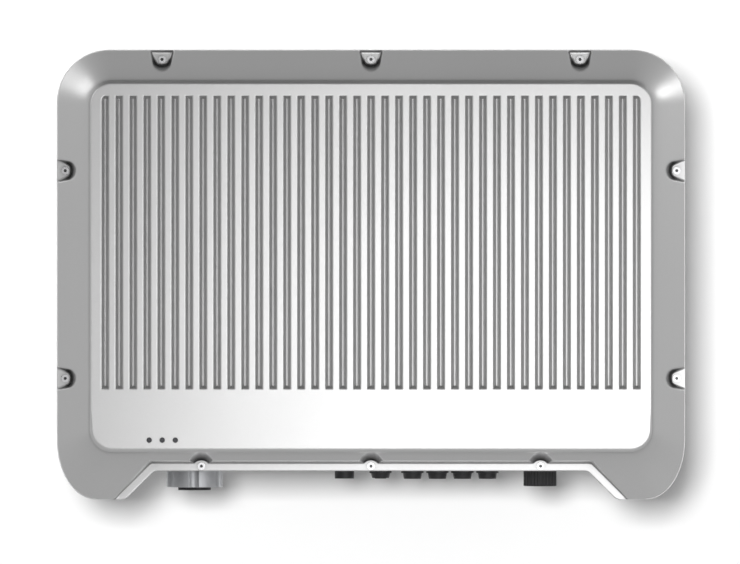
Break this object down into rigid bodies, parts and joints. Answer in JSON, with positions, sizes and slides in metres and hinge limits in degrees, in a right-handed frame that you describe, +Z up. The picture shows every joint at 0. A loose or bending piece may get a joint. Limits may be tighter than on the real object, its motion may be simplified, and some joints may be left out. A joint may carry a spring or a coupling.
{
  "type": "string inverter",
  "caption": "Wall-hung solar string inverter: cast case on two hollow feet, grooved front panel, finned heat sink, sockets, glands and a rotary isolator underneath, on a steel bracket.",
  "frame": {"origin": "middle of the wall bracket's four holes, on the wall plane, level with the middle of the enclosure", "axes": "+Y into the wall, so the front faces -Y; +X to the right seen from the front; +Z up"},
  "size_m": [0.57, 0.1943, 0.408],
  "materials": {
    "painted_case": "die-cast aluminium with a fine-textured silver powder coat",
    "bare_aluminium": "extruded and sawn, satin",
    "galvanised_steel": "galvanised sheet",
    "stainless_screws": "satin stainless steel",
    "plated_metal": "satin nickel plate",
    "brass_parts": "plain brass",
    "gold_contacts": "gold flash",
    "copper_terminals": "tinned copper",
    "black_plastic": "moulded, matte",
    "knob_plastic": "moulded, fine-textured",
    "grey_plastic": "moulded, matte",
    "rubber": "moulded rubber",
    "gasket_rubber": "silicone cord",
    "lens": "smoked, polished",
    "circuit_board": "green solder mask",
    "light_pipe": "clear moulded",
    "ribbon": "flat cable",
    "module_case": "moulded epoxy",
    "thermal_pad": "filled silicone",
    "can_aluminium": "drawn can",
    "potting": "cast resin",
    "capacitor_sleeve": "shrink sleeve",
    "film_box": "moulded box",
    "relay_case": "moulded cover",
    "ferrite": "coated ring core",
    "wire_insulation": "silicone insulation"
  },
  "bodies": {
    "bracket": {"wall_bracket": "galvanised_steel"},
    "inverter": {"hanging_rail": "galvanised_steel", "rail_screws": "stainless_screws", "rear_bumpers": "rubber", "heat_sink": "bare_aluminium", "heat_sink_seal": "gasket_rubber", "heat_sink_screws": "stainless_screws", "rear_housing": "painted_case", "cover_gasket": "gasket_rubber", "front_cover": "painted_case", "cover_screws": "stainless_screws", "indicator_lenses": "lens", "indicator_board": "circuit_board", "indicator_leds": "light_pipe", "indicator_board_screws": "stainless_screws", "ribbon_cable": "ribbon", "power_board": "circuit_board", "power_board_screws": "stainless_screws", "power_modules": "module_case", "module_screws": "stainless_screws", "thermal_pads": "thermal_pad", "inductor_cans": "can_aluminium", "inductor_potting": "potting", "inductor_terminals": "copper_terminals", "dc_link_capacitors": "capacitor_sleeve", "film_capacitors": "film_box", "output_relays": "relay_case", "current_sensors": "black_plastic", "emi_chokes": "ferrite", "ac_terminal_block": "grey_plastic", "dc_terminal_blocks": "grey_plastic", "control_board": "circuit_board", "control_board_pillars": "brass_parts", "control_board_screws": "stainless_screws", "control_chips": "black_plastic", "network_jack": "plated_metal", "dc_switch_body": "grey_plastic", "dc_switch_plate": "black_plastic", "dc_switch_seal": "rubber", "dc_switch_leads": "wire_insulation", "pv_sockets": "black_plastic", "pv_socket_nuts": "black_plastic", "pv_socket_contacts": "gold_contacts", "pv_leads": "wire_insulation", "ac_gland_body": "plated_metal", "ac_gland_locknut": "plated_metal", "data_gland_body": "black_plastic", "data_gland_locknut": "black_plastic", "vent_plug": "black_plastic", "vent_nut": "black_plastic", "earth_screw": "brass_parts", "earth_washer": "stainless_screws"},
    "isolator": {"dc_switch_shaft": "plated_metal", "dc_switch_knob": "knob_plastic"},
    "mains_seal": {"ac_gland_seal": "rubber"},
    "mains_nut": {"ac_gland_nut": "plated_metal"},
    "data_seal": {"data_gland_seal": "rubber"},
    "data_nut": {"data_gland_nut": "black_plastic"}
  },
  "joints": [
    {"name": "hang_lift", "type": "slide", "parent": "bracket", "child": "inverter", "axis": [0, 0, 1], "range_m": [0, 0.018]},
    {"name": "isolator_turn", "type": "hinge", "parent": "inverter", "child": "isolator", "pos_m": [0.1542, -0.11, -0.18], "axis": [0, 0, -1], "range_deg": [0, 90]},
    {"name": "mains_seal_slide", "type": "slide", "parent": "inverter", "child": "mains_seal", "axis": [0, 0, -1], "range_m": [0, 0.003]},
    {"name": "mains_nut_turn", "type": "hinge", "parent": "mains_seal", "child": "mains_nut", "pos_m": [-0.161, -0.11, -0.185], "axis": [0, 0, -1], "range_deg": [0, 720]},
    {"name": "data_seal_slide", "type": "slide", "parent": "inverter", "child": "data_seal", "axis": [0, 0, -1], "range_m": [0, 0.003]},
    {"name": "data_nut_turn", "type": "hinge", "parent": "data_seal", "child": "data_nut", "pos_m": [0.0087, -0.11, -0.18], "axis": [0, 0, -1], "range_deg": [0, 720]}
  ],
  "couplings": [
    {"joint": "mains_seal_slide", "follows": "mains_nut_turn", "m_per_rad": 0.00023873},
    {"joint": "data_seal_slide", "follows": "data_nut_turn", "m_per_rad": 0.00023873}
  ]
}
